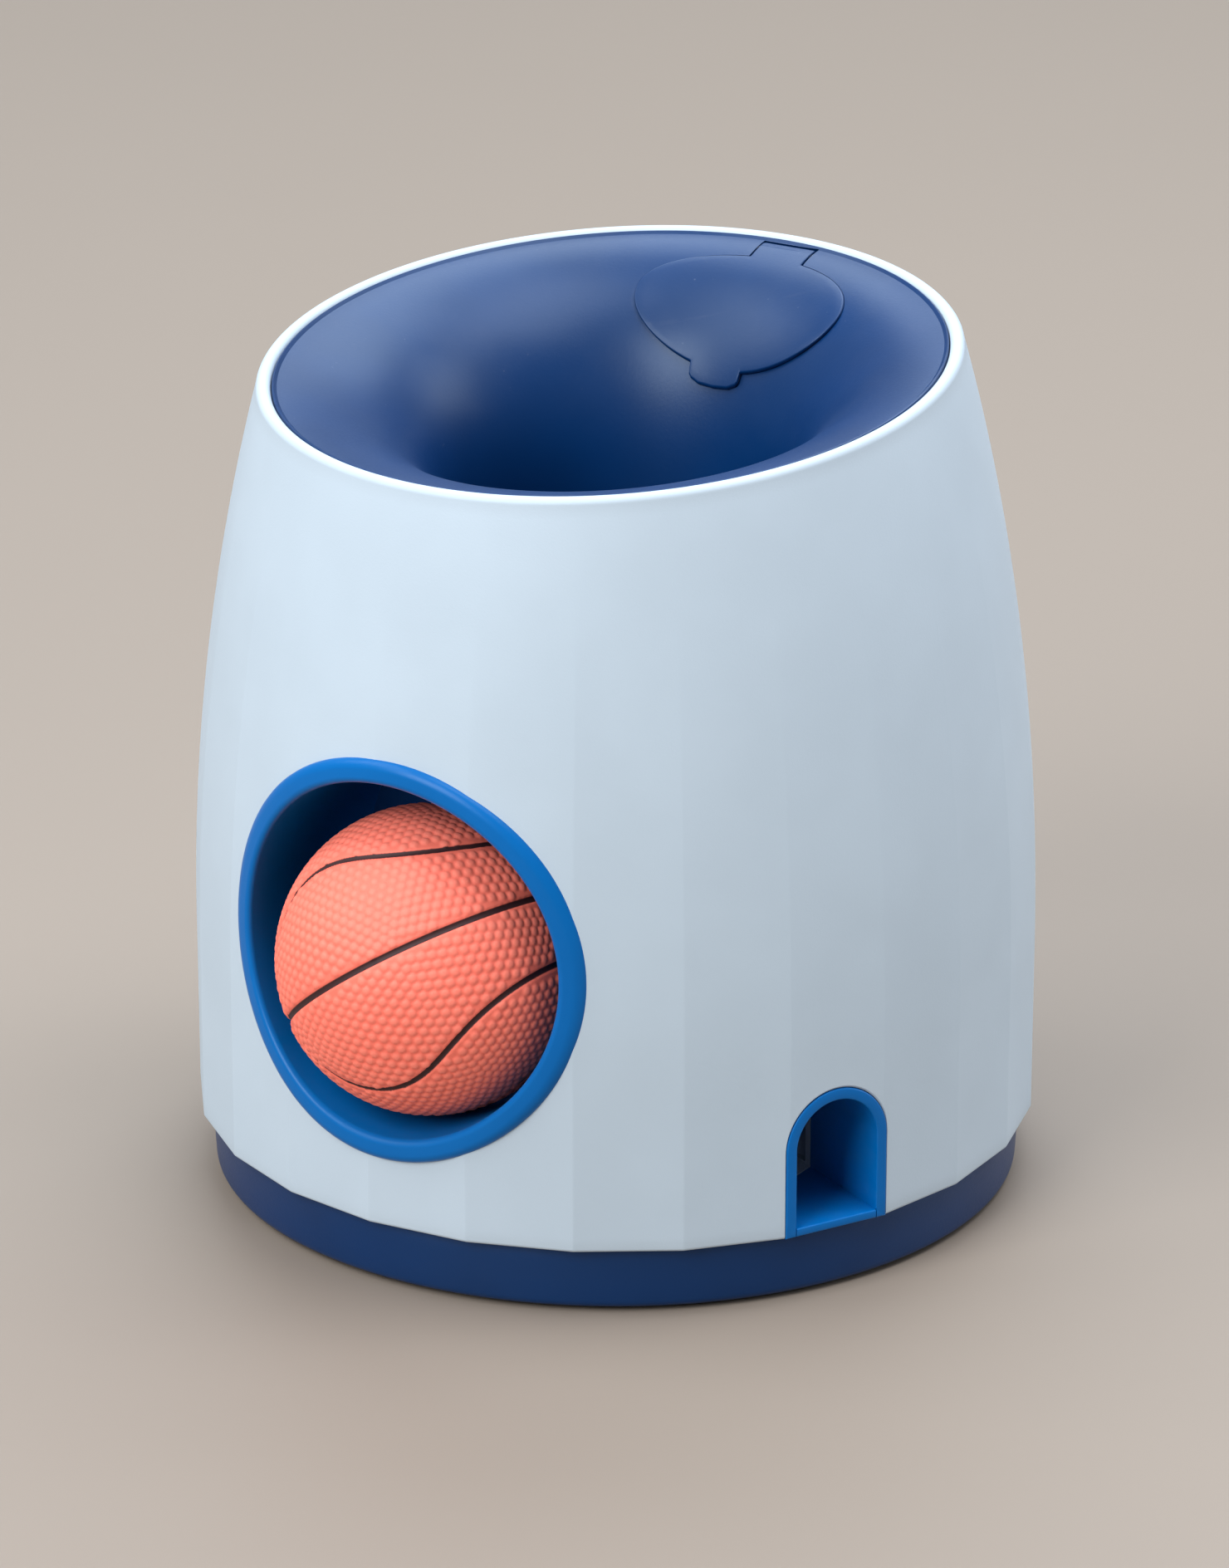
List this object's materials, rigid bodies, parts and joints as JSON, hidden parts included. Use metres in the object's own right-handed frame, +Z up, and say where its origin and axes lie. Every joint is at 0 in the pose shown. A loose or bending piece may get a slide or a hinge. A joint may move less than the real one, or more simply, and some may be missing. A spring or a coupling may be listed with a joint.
{
  "type": "dog puzzle toy",
  "caption": "Faceted barrel toy with a slanted bowl: a ball dropped in presses a paddle that turns a treat drum, treats slide to a small arch and the ball rolls out of the round port.",
  "frame": {"origin": "middle of the sole's underside, on the surface the toy stands on", "axes": "+Z up along the barrel's axis, -Y towards the ball port, the treat outlet at 62.7 degrees from the port towards +X"},
  "size_m": [0.1696, 0.182, 0.1774],
  "materials": {
    "shell_plastic": "satin, fine grain",
    "navy_plastic": "matte",
    "blue_plastic": "satin",
    "trough_plastic": "matte",
    "inner_plastic": "matte",
    "bush_plastic": "smooth",
    "lever_plastic": "matte",
    "drum_plastic": "matte",
    "steel": "plain",
    "sole_rubber": "matte",
    "ball_rubber": "matte, pimpled"
  },
  "bodies": {
    "housing": {"outer_shell": "shell_plastic", "base_pan": "navy_plastic", "grip_sole": "sole_rubber", "base_screws": "steel", "bowl": "navy_plastic", "lid_pin": "steel", "port_liner": "blue_plastic", "treat_spout": "blue_plastic", "ball_chute": "trough_plastic", "chute_screws": "steel", "treat_hopper": "inner_plastic", "hopper_screws": "steel", "treat_slide": "inner_plastic", "slide_screws": "steel", "bush_left": "bush_plastic", "bush_right": "bush_plastic"},
    "lid": {"fill_lid": "navy_plastic"},
    "trigger": {"trigger_shaft": "steel", "clip_left": "steel", "clip_right": "steel", "trigger_paddle": "lever_plastic", "counterweight": "steel", "metering_drum": "drum_plastic"},
    "loose_ball": {"ball": "ball_rubber"}
  },
  "joints": [
    {"name": "lid_hinge", "type": "hinge", "parent": "housing", "child": "lid", "pos_m": [0.0026, 0.06109, 0.17476], "axis": [-1, 0, 0], "range_deg": [0, 90]},
    {"name": "trigger_turn", "type": "hinge", "parent": "housing", "child": "trigger", "pos_m": [0, 0.0434, 0.084], "axis": [1, 0, 0], "range_deg": [0, 50]},
    {"name": "ball_roll", "type": "slide", "parent": "housing", "child": "loose_ball", "axis": [0, -0.9986, 0.0523], "range_m": [0, 0.06]}
  ]
}
